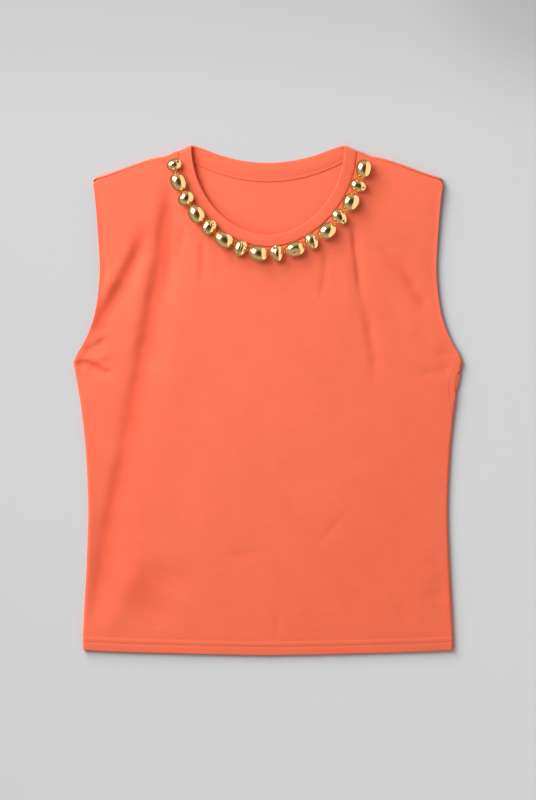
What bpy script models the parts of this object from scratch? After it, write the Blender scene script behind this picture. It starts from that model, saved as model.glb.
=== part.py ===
"""A sleeveless jersey top laid flat on its back, with a strand of metal pebble beads round the front neck.

Metres, +Z up. X runs across the garment and Y from its hem to its neck. The back panel lies on Z = 0 and the
front panel lies over it. The origin is the middle of the outline, on the surface that the top lies on.

Heights in the tables are measured up from the lowest point of the hem, as on a paper pattern. A panel is a
flat plan, in (across, height); lay() then rolls the plan over the folded edges at the sides and shoulders.
"""

import math
from collections import namedtuple

import bmesh
import bpy
import numpy as np
from mathutils import Matrix

# Driving dimensions
LENGTH = 0.588  # neck point to hem
JERSEY = 0.0012  # wall of one ply
SEAM_GAP = 0.0003
CHORD_ROOM = {"front": 0.0002, "back": 0.0011}  # a panel's straight edges bow in by this along its neck seam
TURN_DEPTH = 0.016  # hem turned up inside
TURN_PLY = 0.0006  # what the turned ply adds to the wall
ARMHOLE_TURN = 0.006

LOFT = 0.0052  # outer face of the front panel above the surface, in the middle
HEM_DROP = 0.0008  # the hem lies this much lower
WAVE_RISE = 0.0004  # the loose cloth lies in long soft waves
WAVES_ACROSS, WAVES_UP = 37, 23  # radians per metre
SIDE_FOLD = 0.0056  # front and back together at a side seam
SHOULDER_FOLD = 0.0063
SHOULDER_FROM, SHOULDER_FULL = 0.455, 0.545  # heights between which the front rises to the shoulder
EASE = 0.030  # cloth taken up by a folded edge is shared out over this distance

NECK_HALF = 0.0884  # neck opening at the neck points
NECK_LEVEL = 0.5825  # height where the front neck curve stands upright
FRONT_NECK = 0.4846  # neck edge at the centre front
BACK_NECK = 0.5663  # neck edge at the centre back
NECK_ROUND = 1.9  # exponent of the front neck curve: 2 is an ellipse
NECK_LIFT = 0.0022  # the band stands up this much at the neck points
BAND = 0.0145  # neckband outside the seam
BAND_INSIDE = 0.0215  # its inner ply, which runs on past the seam
BAND_WALL = 0.0020
BACK_BAND_WALL = 0.0027
BAND_END_GAP = 0.0006  # each half stops this far short of the shoulder fold, so that their inner faces clear

SHOULDER_GAP = 0.0010
SHOULDER_SEAM = 0.0043  # the back panel comes this far over the shoulder fold, along the cloth
ARMHOLE_OPENS = 0.014  # height over which the sewn side turns into two free armhole edges
BACK_ARMHOLE_INSET = 0.0008

STRAND_OUTSIDE = 0.0222  # strand of beads, outside the neck edge
SPACER_RADIUS = 0.0016

Station = namedtuple("Station", "height half_width")
SIDE = (
    Station(0.0063, 0.2132),
    Station(0.0120, 0.2135),
    Station(0.0450, 0.2122),
    Station(0.1050, 0.2090),
    Station(0.1670, 0.2071),
    Station(0.2300, 0.2096),
    Station(0.2900, 0.2160),
    Station(0.3380, 0.2243),
)
ARMHOLE = (
    Station(0.3380, 0.2243),
    Station(0.3460, 0.2208),
    Station(0.3575, 0.2138),
    Station(0.3748, 0.2056),
    Station(0.3978, 0.1988),
    Station(0.4209, 0.1955),
    Station(0.4439, 0.1940),
    Station(0.4900, 0.1964),
    Station(0.5303, 0.1998),
    Station(0.5445, 0.2022),
)
SHOULDER = (
    Station(0.5445, 0.2022),
    Station(0.5488, 0.2005),
    Station(0.5510, 0.1972),
    Station(0.5536, 0.1884),
    Station(0.5734, 0.1296),
    Station(0.5754, 0.1180),
    Station(0.5807, 0.1065),
    Station(0.5824, 0.1000),
    Station(0.5878, 0.0884),
)
HEM = (
    Station(0.0000, 0.0000),
    Station(0.0010, 0.0600),
    Station(0.0025, 0.1200),
    Station(0.0046, 0.1850),
    Station(0.0063, 0.2132),
)
UNDERARM = SIDE[-1].height
TIP = SHOULDER[0]

# Where the right side seam strays from the edge: arc over the fold, onto the front
Stray = namedtuple("Stray", "height arc")
SEAM_STRAY = (
    Stray(0.2620, 0.0),
    Stray(0.2950, 0.0090),
    Stray(0.3250, 0.0130),
    Stray(0.3375, 0.0),
)

# Soft folds of the front: start, middle and end as (across, height), half width and rise (troughs negative)
Fold = namedtuple("Fold", "name start middle end width rise")
FOLDS = (
    Fold("neck to hem, upper", (-0.1150, 0.5195), (-0.1340, 0.4220), (-0.1580, 0.3060), 0.0090, -0.0019),
    Fold("neck to hem, lower", (-0.1580, 0.3060), (-0.1790, 0.1800), (-0.1930, 0.0700), 0.0095, -0.0012),
    Fold("shoulder to underarm", (-0.1390, 0.4890), (-0.1700, 0.4350), (-0.1930, 0.3750), 0.0075, -0.0022),
    Fold("beside the long fold", (-0.0960, 0.4800), (-0.1060, 0.3700), (-0.1400, 0.1900), 0.0150, 0.0005),
    Fold("between the left folds", (-0.1400, 0.4500), (-0.1560, 0.4050), (-0.1800, 0.3550), 0.0080, 0.0005),
    Fold("left underarm", (-0.2180, 0.3370), (-0.2020, 0.3330), (-0.1850, 0.3300), 0.0060, -0.0009),
    Fold("right armhole", (0.1430, 0.4730), (0.1660, 0.4270), (0.1880, 0.3950), 0.0090, -0.0008),
    Fold("right front", (0.1020, 0.4900), (0.1130, 0.3980), (0.1240, 0.3120), 0.0065, -0.0007),
    Fold("right of the middle", (0.0650, 0.4610), (0.0600, 0.4200), (0.0500, 0.3850), 0.0100, -0.0004),
    Fold("lower left, ridge", (-0.1960, 0.0250), (-0.1650, 0.0650), (-0.1270, 0.1100), 0.0130, 0.0005),
    Fold("lower left, trough", (-0.1700, 0.0180), (-0.1400, 0.0550), (-0.1050, 0.0850), 0.0120, -0.0007),
    Fold("lower right", (0.1900, 0.1250), (0.2000, 0.0650), (0.2040, 0.0250), 0.0110, -0.0008),
)

# The beads in order from the left shoulder. Sizes are along and across the strand; taper is the egg shape
# along the longer axis; turn is in degrees from the strand; drift is outwards from its line.
Bead = namedtuple("Bead", "along across high taper turn drift")
BEADS = (
    Bead(0.0134, 0.0172, 0.0125, 0.10, 10, -0.0010),
    Bead(0.0214, 0.0168, 0.0150, 0.05, 4, -0.0006),
    Bead(0.0152, 0.0190, 0.0135, 0.12, 10, -0.0010),
    Bead(0.0221, 0.0174, 0.0155, 0.04, -3, -0.0014),
    Bead(0.0150, 0.0198, 0.0130, 0.10, 8, -0.0016),
    Bead(0.0224, 0.0176, 0.0155, 0.06, 0, -0.0008),
    Bead(0.0138, 0.0200, 0.0130, 0.08, -2, -0.0004),
    Bead(0.0216, 0.0178, 0.0155, 0.03, -4, 0.0000),
    Bead(0.0146, 0.0200, 0.0130, 0.22, 4, 0.0002),
    Bead(0.0218, 0.0176, 0.0150, 0.05, -3, 0.0000),
    Bead(0.0144, 0.0196, 0.0130, 0.12, -9, 0.0002),
    Bead(0.0219, 0.0174, 0.0155, 0.05, 0, 0.0008),
    Bead(0.0152, 0.0200, 0.0135, 0.15, -10, 0.0004),
    Bead(0.0214, 0.0174, 0.0155, 0.04, 0, 0.0008),
    Bead(0.0140, 0.0190, 0.0130, 0.12, -3, 0.0002),
    Bead(0.0212, 0.0172, 0.0155, 0.04, 5, 0.0000),
)
STRAND_STARTS = -0.1621  # first bead, along the strand from the centre front
BEAD_PITCH = 0.0215

# How finely the walls are divided. The rows are given by their heights at the sides, which both panels share,
# so that their seams match; the last rows of each go over its shoulder.
ROW_HEIGHTS = (
    *(0.0063, 0.0090, 0.0223, 0.0245, 0.045, 0.080, 0.115, 0.150, 0.185, 0.220, 0.250),
    *(0.262, 0.269, 0.277, 0.287, 0.305, 0.320, 0.328, 0.333, 0.338, 0.345, 0.357),
    *(0.372, 0.392, 0.415, 0.440, 0.468, 0.498, 0.519, 0.530),
)
FRONT_TOP_ROWS = (0.5355, 0.5385, TIP.height - SHOULDER_SEAM - SHOULDER_GAP / 2)
BACK_TOP = TIP.height + SHOULDER_SEAM - SHOULDER_GAP / 2
BACK_TOP_ROWS = (0.5392, 0.5410, 0.5428, 0.5445, 0.5460, 0.5474, BACK_TOP)
CORNER, TURNED = 0.22, 0.235  # fractions across a panel of its neck corner and of the turn beside it
EDGE_STEP = 0.0011
LEFT_COLUMNS, NECK_COLUMNS, RIGHT_COLUMNS, BACK_COLUMNS = 10, 24, 7, 9
FRONT_BAND_SECTIONS, BACK_BAND_SECTIONS = 36, 24


def steady(xs, ys, x):
    """A smooth curve through a table's rows, which never swings past a row."""
    xs, ys = np.array(xs, float), np.array(ys, float)
    step, rise = np.diff(xs), np.diff(ys)
    secant = rise / step
    both = secant[:-1] * secant[1:]
    mean = np.where(both > 0, 2 * both / np.where(both > 0, secant[:-1] + secant[1:], 1), 0)
    slope = np.concatenate([secant[:1], mean, secant[-1:]])
    x = float(np.clip(x, xs[0], xs[-1]))
    i = int(np.clip(np.searchsorted(xs, x) - 1, 0, len(step) - 1))
    t = (x - xs[i]) / step[i]
    return float(
        ys[i] * (1 + 2 * t) * (1 - t) ** 2
        + ys[i + 1] * t * t * (3 - 2 * t)
        + step[i] * (slope[i] * t * (1 - t) ** 2 + slope[i + 1] * t * t * (t - 1))
    )


def smooth_step(value, low, high):
    t = min(max((value - low) / (high - low), 0.0), 1.0)
    return t * t * (3 - 2 * t)


def half_width(height):
    """Half the garment's width at a height: the side seam up to the underarm, then the armhole."""
    table = SIDE if height < UNDERARM else ARMHOLE
    return steady([s.height for s in table], [s.half_width for s in table], height)


def shoulder_line(across):
    """Height of the folded shoulder at a distance from the centre, neckband included."""
    inwards = SHOULDER[::-1]
    return steady([s.half_width for s in inwards], [s.height for s in inwards], across)


def hem_line(across):
    return steady([s.half_width for s in HEM], [s.height for s in HEM], across)


def armhole_open(height):
    """How far the two layers have parted at the side: 0 where they are sewn, 1 along the armhole."""
    return smooth_step(height, UNDERARM, UNDERARM + ARMHOLE_OPENS)


def side_edge(height):
    """Outermost line of the side fold. Along the armhole the cloth stops short of it."""
    angle = armhole_open(height) * math.pi / 2
    return half_width(height) + SIDE_FOLD / 2 * (1 - math.cos(angle))


def curve_points(start, middle, end, count=17):
    """Points along the bent line that passes through the middle point."""
    start, middle, end = (np.array(p, float) for p in (start, middle, end))
    pull = 2 * middle - (start + end) / 2
    t = np.linspace(0, 1, count)[:, None]
    return (1 - t) ** 2 * start + 2 * t * (1 - t) * pull + t * t * end


FOLD_LINES = [curve_points(f.start, f.middle, f.end) for f in FOLDS]


def folds_at(x, height):
    """Sum of the soft folds: each a rounded ridge or trough that dies away past its ends."""
    rise = 0.0
    for fold, line in zip(FOLDS, FOLD_LINES):
        away = np.hypot(line[:, 0] - x, line[:, 1] - height).min()
        rise += fold.rise * math.exp(-((away / fold.width) ** 2))
    return rise


def outside_neck(x, height):
    """Roughly how far a point lies outside the front neck edge."""
    down = max(NECK_LEVEL - height, 0.0) / (NECK_LEVEL - FRONT_NECK)
    ring = ((abs(x) / NECK_HALF) ** NECK_ROUND + down**NECK_ROUND) ** (1 / NECK_ROUND)
    return (ring - 1) * NECK_HALF


def top_level(x, height):
    """Outer face of the front panel above the surface."""
    inset = max(side_edge(height) - abs(x), 0.0)
    shoulder = smooth_step(height, SHOULDER_FROM, SHOULDER_FULL)
    free = armhole_open(height) * (1 - smooth_step(height, 0.50, 0.54))
    level = LOFT + (SHOULDER_FOLD - LOFT) * shoulder
    level += (SIDE_FOLD - LOFT) * math.exp(-inset / 0.025) * (1 - armhole_open(height))
    level -= 0.0011 * free * math.exp(-inset / 0.010)
    near_neck = math.exp(-max(outside_neck(x, height), 0.0) / 0.009)
    level += WAVE_RISE * math.sin(WAVES_ACROSS * x) * math.sin(WAVES_UP * height)
    level += NECK_LIFT * near_neck * smooth_step(height, 0.50, 0.58)
    hem = -HEM_DROP * math.exp(-max(height - hem_line(abs(x)), 0.0) / 0.012)
    return level + (folds_at(x, height) + hem) * smooth_step(inset, 0.0, 0.012)


def over_edge(inset, radius):
    """Cloth at an arc length inside a folded edge: its distance in from the edge seen from above, and its
    lift: 1 on its own layer, 0 at the very edge and -1 once it has come round onto the other layer."""
    quarter = radius * math.pi / 2
    if abs(inset) < quarter:
        angle = inset / radius
        return radius * (1 - math.cos(angle)), math.sin(angle)
    flat = abs(inset) - quarter
    eased = (quarter - radius) * (1 - math.exp(-flat / EASE))
    return radius + flat + eased, math.copysign(1, inset)


def lay(layer, across, height):
    """Outer face of the front or back layer at a point of its flat plan, in the laid-out garment."""
    edge = side_edge(height)
    inward, side_lift = over_edge(edge - abs(across), SIDE_FOLD / 2)
    x = math.copysign(edge - inward, across)
    line = shoulder_line(abs(x))
    fold = top_level(x, line) / 2
    down, top_lift = over_edge(line - height, fold)
    h = line - down
    top = top_level(x, h)
    side = SIDE_FOLD / 2
    if layer == "front":
        z = side + (top - side) * side_lift
        z = fold + (z - fold) * top_lift
    else:
        z = side * (1 - side_lift) if side_lift >= 0 else side - (top - side) * side_lift
        z = z + fold * (1 - top_lift) if top_lift >= 0 else fold - (top - fold) * top_lift
    return np.array([x, h - LENGTH / 2, z])


def outward(layer, across, height):
    """Unit normal of the layer's outer face."""
    e = 2e-5
    along_x = lay(layer, across + e, height) - lay(layer, across - e, height)
    along_h = lay(layer, across, height + e) - lay(layer, across, height - e)
    normal = np.cross(along_x, along_h)
    normal /= np.linalg.norm(normal)
    return normal if layer == "front" else -normal


def front_neck(outside, t):
    """Front neck curve, `outside` beyond the neck edge; t runs from -1, left shoulder, over 0 to 1."""
    angle = abs(t) * math.pi / 2
    half, deep = NECK_HALF + outside, NECK_LEVEL - FRONT_NECK + outside
    across = half * math.sin(angle) ** (2 / NECK_ROUND)
    height = NECK_LEVEL - deep * math.cos(angle) ** (2 / NECK_ROUND)
    height += (shoulder_line(half) - NECK_LEVEL) * abs(t) ** 4
    return math.copysign(across, t), height


def back_neck(outside, t):
    """Back neck curve, a shallow scoop between the same two neck points."""
    half, low = NECK_HALF + outside, BACK_NECK - outside
    return half * t, low + (shoulder_line(half) - low) * t * t


def at_fraction(path, fraction):
    """Point at a fraction of a path's length."""
    path = np.array(path)
    run = np.concatenate([[0], np.cumsum(np.linalg.norm(np.diff(path, axis=0), axis=1))])
    return np.array([np.interp(fraction * run[-1], run, path[:, k]) for k in (0, 1)])


def stray(side, height):
    """How far the side seam lies over the edge onto the front. Only the right one strays."""
    if side < 0:
        return 0.0
    return float(np.interp(height, [s.height for s in SEAM_STRAY], [s.arc for s in SEAM_STRAY]))


def side_point(layer, side, height):
    """A panel's side seam or armhole edge in its flat plan."""
    opened = SIDE_FOLD / 2 * armhole_open(height) * math.pi / 2
    over = stray(side, height) * (1 if layer == "front" else -1)
    hidden = BACK_ARMHOLE_INSET * armhole_open(height) if layer == "back" else 0.0
    return np.array([side * (side_edge(height) - opened - over - hidden - SEAM_GAP), height])


def shoulder_reach(layer):
    """How far past the shoulder fold a layer's seam lies, along the cloth."""
    return (SHOULDER_SEAM if layer == "back" else -SHOULDER_SEAM) - SHOULDER_GAP / 2


def top_paths(layer):
    """A panel's right shoulder seam, the few millimetres where the seam turns into the neck seam, and half of
    the neck seam, which ends at the centre."""
    over = shoulder_reach(layer)
    tip = side_point(layer, 1, TIP.height + over)[0]
    neck = BAND + SEAM_GAP + CHORD_ROOM[layer]
    corner = NECK_HALF + neck
    rounding = TIP.half_width - tip
    along = np.linspace(0, 1, 40)
    across = tip + (corner - tip) * along
    shoulder = [(x, shoulder_line(x + rounding * (1 - s) ** 2) + over) for x, s in zip(across, along)]
    curve = front_neck if layer == "front" else back_neck
    rest = [curve(neck, t) for t in np.linspace(1, 0, 200)]
    rest = [p for p in rest if p[1] < shoulder[-1][1]]
    turned = [p for p in rest if p[1] > shoulder_line(corner) + over - abs(over) - 0.0002]
    turn = [shoulder[-1]] + (turned if layer == "front" else rest[:1])
    return shoulder, turn, turn[-1:] + rest[len(turn) - 1 :]


def top_point(paths, s):
    """Point of a panel's top edge at a fraction across it."""
    side, share = (-1, s) if s < 0.5 else (1, 1 - s)
    ends = (0.0, CORNER, TURNED, 0.5)
    part = 0 if share < ends[1] else 1 if share < ends[2] else 2
    point = at_fraction(paths[part], (share - ends[part]) / (ends[part + 1] - ends[part]))
    return np.array([side * point[0], point[1]])


def patch(layer, columns, rows):
    """Points of a panel's flat plan: a grid blended between its hem, sides and top. columns(height) gives the
    fractions across, and rows the heights at the sides."""
    paths = top_paths(layer)
    low_edge, high_edge = rows[0], TIP.height + shoulder_reach(layer)
    corners = [side_point(layer, side, low_edge) for side in (-1, 1)]
    ceiling = [top_point(paths, s) for s in (0, 1)]
    grid = []
    for height in rows:
        t = (height - low_edge) / (high_edge - low_edge)
        left, right = (side_point(layer, side, height) for side in (-1, 1))
        line = []
        for s in columns(height):
            across = corners[0][0] + (corners[1][0] - corners[0][0]) * s
            low = np.array([across, hem_line(abs(across))])
            high = top_point(paths, s)
            ruled = (1 - t) * low + t * high + (1 - s) * left + s * right
            bottom = (1 - s) * corners[0] + s * corners[1]
            top = (1 - s) * ceiling[0] + s * ceiling[1]
            line.append(ruled - (1 - t) * bottom - t * top)
        grid.append(line)
    return grid


def wall_thickness(across, height):
    """One ply, and a second one where the hem and the armhole edge are turned under."""
    above_hem = height - hem_line(abs(across))
    inset = side_edge(height) - abs(across)
    turned = (1 - smooth_step(above_hem, TURN_DEPTH, TURN_DEPTH + 0.002)) * smooth_step(inset, 0.001, 0.005)
    bound = armhole_open(height) * (1 - smooth_step(inset, ARMHOLE_TURN, ARMHOLE_TURN + 0.004))
    return JERSEY + TURN_PLY * max(turned, bound * (1 - smooth_step(height, 0.50, 0.53)))


def new_object(name, mesh, material, collection):
    obj = bpy.data.objects.new(name, mesh)
    obj.data.materials.append(material)
    collection.objects.link(obj)
    return obj


def wall(name, outer, inner, material, collection):
    """A closed wall: a plain grid moved to the outer face, and its extruded copy moved to the inner face."""
    rows, columns = len(outer) - 1, len(outer[0]) - 1
    bm = bmesh.new()
    bmesh.ops.create_grid(bm, x_segments=columns, y_segments=rows, size=0.5)
    copied = bmesh.ops.extrude_face_region(bm, geom=bm.faces[:], use_keep_orig=True)["geom"]
    inside = {v for v in copied if isinstance(v, bmesh.types.BMVert)}
    for v in bm.verts:
        i, j = round((v.co.y + 0.5) * rows), round((v.co.x + 0.5) * columns)
        v.co = inner[i][j] if v in inside else outer[i][j]
    bmesh.ops.recalc_face_normals(bm, faces=bm.faces)
    mesh = bpy.data.meshes.new(name)
    bm.to_mesh(mesh)
    bm.free()
    mesh.shade_smooth()
    mesh.set_sharp_from_angle(angle=math.radians(50))
    return new_object(name, mesh, material, collection)


def panel(layer, columns, rows, material, collection):
    """The front or the back, cut in one piece from hem to shoulder."""
    outer, inner = [], []
    for line in patch(layer, columns, rows):
        faces = [(lay(layer, *p), outward(layer, *p), wall_thickness(*p)) for p in line]
        outer.append([point for point, _, _ in faces])
        inner.append([point - normal * thick for point, normal, thick in faces])
    return wall(layer + "_panel", outer, inner, material, collection)


def spread(*zones):
    """Fractions from 0 to 1: each zone is (where it ends, how many steps it has)."""
    marks, start = [0.0], 0.0
    for end, steps in zones:
        marks += list(np.linspace(start, end, steps + 1)[1:])
        start = end
    return marks


def front_columns(height):
    edge = 4 * EDGE_STEP / (2 * half_width(height))
    left = ((edge, 4), (CORNER, LEFT_COLUMNS), (TURNED, 1))
    return spread(*left, (1 - TURNED, NECK_COLUMNS), (1 - CORNER, 1), (1 - edge, RIGHT_COLUMNS), (1, 4))


def back_columns(height):
    """As the front's, but where the right seam strays the columns close up round the fold itself."""
    width = 2 * half_width(height)
    quarter = SIDE_FOLD / 2 * math.pi / 2
    around = quarter + stray(1, height)
    shares = np.array([0, 0.125, 0.25, 0.375, 0.5, 0.75, 1.0])
    left, right = quarter / width, 1 - around / width
    near = TURNED + np.array([0.0, 0.005, 0.011, 0.018, 0.030])
    shoulders = [np.linspace(left, CORNER, 7)[1:], np.linspace(1 - CORNER, right, 7)[:-1]]
    neck = [*near, *np.linspace(0.285, 0.715, BACK_COLUMNS), *(1 - near[::-1])]
    return [*(left * shares), *shoulders[0], *neck, *shoulders[1], *(1 - (1 - right) * (1 - shares))]


def neckband(layer, section, sections, material, collection):
    """Half of the neckband. A row of its section gives, for the outer and the inner face, how far outside the
    neck edge it is and how deep below the layer's outer face."""
    curve = front_neck if layer == "front" else back_neck
    outer, inner = [], []
    for u in np.linspace(-1, 1, sections + 1):
        t = 1.5 * u - 0.5 * u**3  # closer together near the ends, which bend over the shoulder
        sheets = ([], [])
        fades = 1 - smooth_step(abs(t), 0.70, 0.85)
        for row in section:
            for sheet, (outside, deep) in zip(sheets, (row[:2], row[2:])):
                if outside > BAND:
                    outside = BAND + (outside - BAND) * max(fades, 0.02)
                across, height = curve(outside, t)
                height -= BAND_END_GAP * abs(t) ** 30
                sheet.append(lay(layer, across, height) - outward(layer, across, height) * deep)
        outer.append(sheets[0])
        inner.append(sheets[1])
    return wall("neckband_" + layer, outer, inner, material, collection)


def strand_point(run, drift):
    """Point on the strand's line at a run along it from the centre front, and the line's direction there."""
    ts = np.linspace(-1, 1, 401)
    path = np.array([front_neck(STRAND_OUTSIDE + drift, t) for t in ts])
    lengths = np.concatenate([[0], np.cumsum(np.linalg.norm(np.diff(path, axis=0), axis=1))])
    lengths -= lengths[200]
    ends = [np.array([np.interp(run + d, lengths, path[:, k]) for k in (0, 1)]) for d in (-0.001, 0, 0.001)]
    direction = (ends[2] - ends[0]) / np.linalg.norm(ends[2] - ends[0])
    return ends[1], direction


def seat(centre, axes, half_sizes):
    """Height of a bead's centre when its underside just clears the cloth below it."""
    level = 0.0
    for u in np.linspace(-0.9, 0.9, 7):
        for v in np.linspace(-0.9, 0.9, 7):
            if u * u + v * v > 0.9:
                continue
            x, h = centre + axes[0] * u * half_sizes[0] + axes[1] * v * half_sizes[1]
            under = half_sizes[2] * math.sqrt(1 - u * u - v * v)
            level = max(level, top_level(x, h) + SEAM_GAP + under)
    return level


def pebble(name, size, taper, material, collection):
    """A bead: a ball stretched to its size, egg-shaped along its longer axis."""
    bm = bmesh.new()
    lying = Matrix.Rotation(math.pi / 2, 4, "Y")
    bmesh.ops.create_uvsphere(bm, u_segments=12, v_segments=8, radius=0.5, matrix=lying)
    long_axis = 0 if size[0] > size[1] else 1
    for v in bm.verts:
        narrow = 1 + taper * 2 * v.co[long_axis]
        v.co[1 - long_axis] *= narrow
        v.co = [c * s for c, s in zip(v.co, size)]
    mesh = bpy.data.meshes.new(name)
    bm.to_mesh(mesh)
    bm.free()
    mesh.shade_smooth()
    return new_object(name, mesh, material, collection)


def reach(towards, axes, half_sizes):
    """A bead's radius towards its neighbour."""
    flat = [float(np.dot(towards, axis)) / half for axis, half in zip(axes, half_sizes)]
    return 1 / math.hypot(*flat)


def bead_strand(material, collection):
    """The beads, each seated on the cloth, with a small round spacer between each two."""
    placed = []
    for number, bead in enumerate(BEADS):
        centre, direction = strand_point(STRAND_STARTS + number * BEAD_PITCH, bead.drift)
        turn = math.radians(bead.turn) + math.atan2(direction[1], direction[0])
        axes = np.array([[math.cos(turn), math.sin(turn)], [-math.sin(turn), math.cos(turn)]])
        size = np.array([bead.along, bead.across, bead.high])
        z = seat(centre, axes, size / 2)
        obj = pebble(f"bead_{number + 1:02d}", size, bead.taper, material, collection)
        obj.location = (centre[0], centre[1] - LENGTH / 2, z)
        obj.rotation_euler.z = turn
        placed.append((centre, axes, size / 2, z))
    for number, (one, other) in enumerate(zip(placed, placed[1:])):
        apart = other[0] - one[0]
        distance = np.linalg.norm(apart)
        towards = apart / distance
        near, far = reach(towards, one[1], one[2]), reach(-towards, other[1], other[2])
        middle = one[0] + towards * (near + distance - far) / 2
        radius = min(SPACER_RADIUS, (distance - near - far) / 2 - SEAM_GAP)
        bm = bmesh.new()
        bmesh.ops.create_uvsphere(bm, u_segments=8, v_segments=5, radius=radius)
        mesh = bpy.data.meshes.new(f"spacer_{number + 1:02d}")
        bm.to_mesh(mesh)
        bm.free()
        mesh.shade_smooth()
        obj = new_object(mesh.name, mesh, material, collection)
        obj.location = (middle[0], middle[1] - LENGTH / 2, (one[3] + other[3]) / 2)


def principled(name, colour, roughness, metallic):
    material = bpy.data.materials.new(name)
    material.use_nodes = True
    shader = material.node_tree.nodes["Principled BSDF"]
    shader.inputs["Base Color"].default_value = (*colour, 1)
    shader.inputs["Roughness"].default_value = roughness
    shader.inputs["Metallic"].default_value = metallic
    return material


def main():
    for obj in list(bpy.data.objects):
        bpy.data.objects.remove(obj)
    collection = bpy.data.collections.new("sleeveless_top")
    bpy.context.scene.collection.children.link(collection)
    jersey = principled("coral_jersey", (0.92, 0.18, 0.09), 0.85, 0.0)
    rib = principled("coral_neckband", (0.90, 0.17, 0.085), 0.85, 0.0)
    gold = principled("polished_gold", (0.83, 0.60, 0.27), 0.15, 1.0)

    panel("front", front_columns, ROW_HEIGHTS + FRONT_TOP_ROWS, jersey, collection)
    panel("back", back_columns, ROW_HEIGHTS + BACK_TOP_ROWS, jersey, collection)

    front_section = (
        (0.0, 0.0007, 0.0, 0.0014),
        (0.0005, 0.0, 0.0005, BAND_WALL),
        (BAND * 0.33, 0.0, BAND * 0.33, BAND_WALL),
        (BAND * 0.66, 0.0, BAND * 0.66, BAND_WALL),
        (BAND, 0.0, BAND, BAND_WALL),
    )
    ply_under = JERSEY + 0.0005
    back_section = (
        (0.0, 0.0008, 0.0, 0.0017),
        (0.0006, 0.0, 0.0006, BACK_BAND_WALL),
        (BAND * 0.5, 0.0, BAND * 0.5, BACK_BAND_WALL),
        (BAND, 0.0, BAND * 0.96, BACK_BAND_WALL),
        (BAND, ply_under, BAND + 0.0005, BACK_BAND_WALL),
        (BAND_INSIDE, ply_under, BAND_INSIDE, BACK_BAND_WALL),
    )
    neckband("front", front_section, FRONT_BAND_SECTIONS, rib, collection)
    neckband("back", back_section, BACK_BAND_SECTIONS, rib, collection)
    bead_strand(gold, collection)


main()
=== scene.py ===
"""A sleeveless coral jersey top laid flat on its back, with gold pebble beads round the front of its neck.

Metres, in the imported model's frame: X across the top, Y from hem to neck, Z up off the table. Heights in the
tables are measured up from the lowest point of the hem, as on a paper pattern.
"""

import math
from collections import namedtuple

import bmesh
import bpy
import numpy as np
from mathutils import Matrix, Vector


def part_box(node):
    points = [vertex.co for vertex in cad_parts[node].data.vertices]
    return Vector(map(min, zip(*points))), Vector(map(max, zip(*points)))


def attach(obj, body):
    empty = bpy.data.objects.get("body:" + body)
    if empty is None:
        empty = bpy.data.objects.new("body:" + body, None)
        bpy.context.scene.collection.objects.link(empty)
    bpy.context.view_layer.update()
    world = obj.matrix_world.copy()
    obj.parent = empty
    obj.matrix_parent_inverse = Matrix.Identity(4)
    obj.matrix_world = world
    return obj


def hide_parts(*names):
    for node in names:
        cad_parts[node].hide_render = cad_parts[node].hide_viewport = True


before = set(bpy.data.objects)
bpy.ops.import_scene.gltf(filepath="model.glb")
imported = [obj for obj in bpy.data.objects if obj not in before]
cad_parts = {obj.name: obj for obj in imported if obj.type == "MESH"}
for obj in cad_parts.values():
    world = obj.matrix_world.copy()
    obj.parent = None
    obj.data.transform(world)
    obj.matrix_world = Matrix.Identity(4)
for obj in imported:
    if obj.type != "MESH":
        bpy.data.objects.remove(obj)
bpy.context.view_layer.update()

# ---------------------------------------------------------------------------------------------- front panel
# The front is cut in one piece from fine cotton jersey, with a scooped neck. Its hem is folded up inside and
# coverstitched, its armhole edges are turned in, and it lies loosely over the back in a few long soft folds.

LENGTH = 0.588  # neck point to hem
PLY = 0.0008  # one ply of jersey
HEM_TURN = 0.0160
ARMHOLE_TURN = 0.006
TURN_FOLD = 0.0009  # radius of a turned edge
DEEPEST = 0.0033  # a trough ends on the back panel under it
SEAM_DIP = 0.0004  # how far a sewn edge is pulled in

LOFT = 0.0052  # outer face of the front above the table, in the middle
HEM_DROP, ARMHOLE_DROP = 0.0008, 0.0011  # how much lower the free edges lie
EDGE_ROUND, ARMHOLE_ROUND, SIDE_ROUND = 0.012, 0.010, 0.025  # how far in an edge is felt
WAVE_RISE = 0.0004  # the loose cloth lies in long soft waves
WAVES_ACROSS, WAVES_UP = 37, 23  # radians per metre
SIDE_FOLD = 0.0056  # front and back together at a side seam
SHOULDER_FOLD = 0.0063
SHOULDER_FROM, SHOULDER_FULL = 0.455, 0.545
EASE = 0.030  # cloth taken up by a folded edge is shared out over this distance

NECK_HALF = 0.0884
NECK_LEVEL = 0.5825  # height where the front neck curve stands upright
FRONT_NECK = 0.4846
BACK_NECK = 0.5663
NECK_ROUND = 1.9  # exponent of the front neck curve: 2 is an ellipse
NECK_LIFT, NECK_LIFT_ROUND = 0.0022, 0.009  # the front neck edge stands up at the shoulders
BAND = 0.0145  # neckband outside its seam
BAND_INSIDE = 0.0213  # its inner ply, which runs on past the seam

SHOULDER_SEAM = 0.0043  # the back comes this far over the shoulder fold, along the cloth
SHOULDER_GAP, SIDE_GAP, NECK_GAP = 0.0003, 0.0001, 0.0002  # left between the edges at a seam
BACK_HIDES = 0.0008  # the back's armhole edge lies this far inside the front's
ARMHOLE_OPENS = 0.014  # height over which the sewn side turns into two free armhole edges
TURNING_ENDS, DROP_ENDS = (0.528, 0.540), (0.50, 0.54)  # heights where the armhole runs into the shoulder
LIFT_GROWS = 0.50, 0.58  # and where the neck edge comes to stand up


def rows_of(kind, *rows):
    return tuple(kind(*row) for row in rows)


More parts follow.
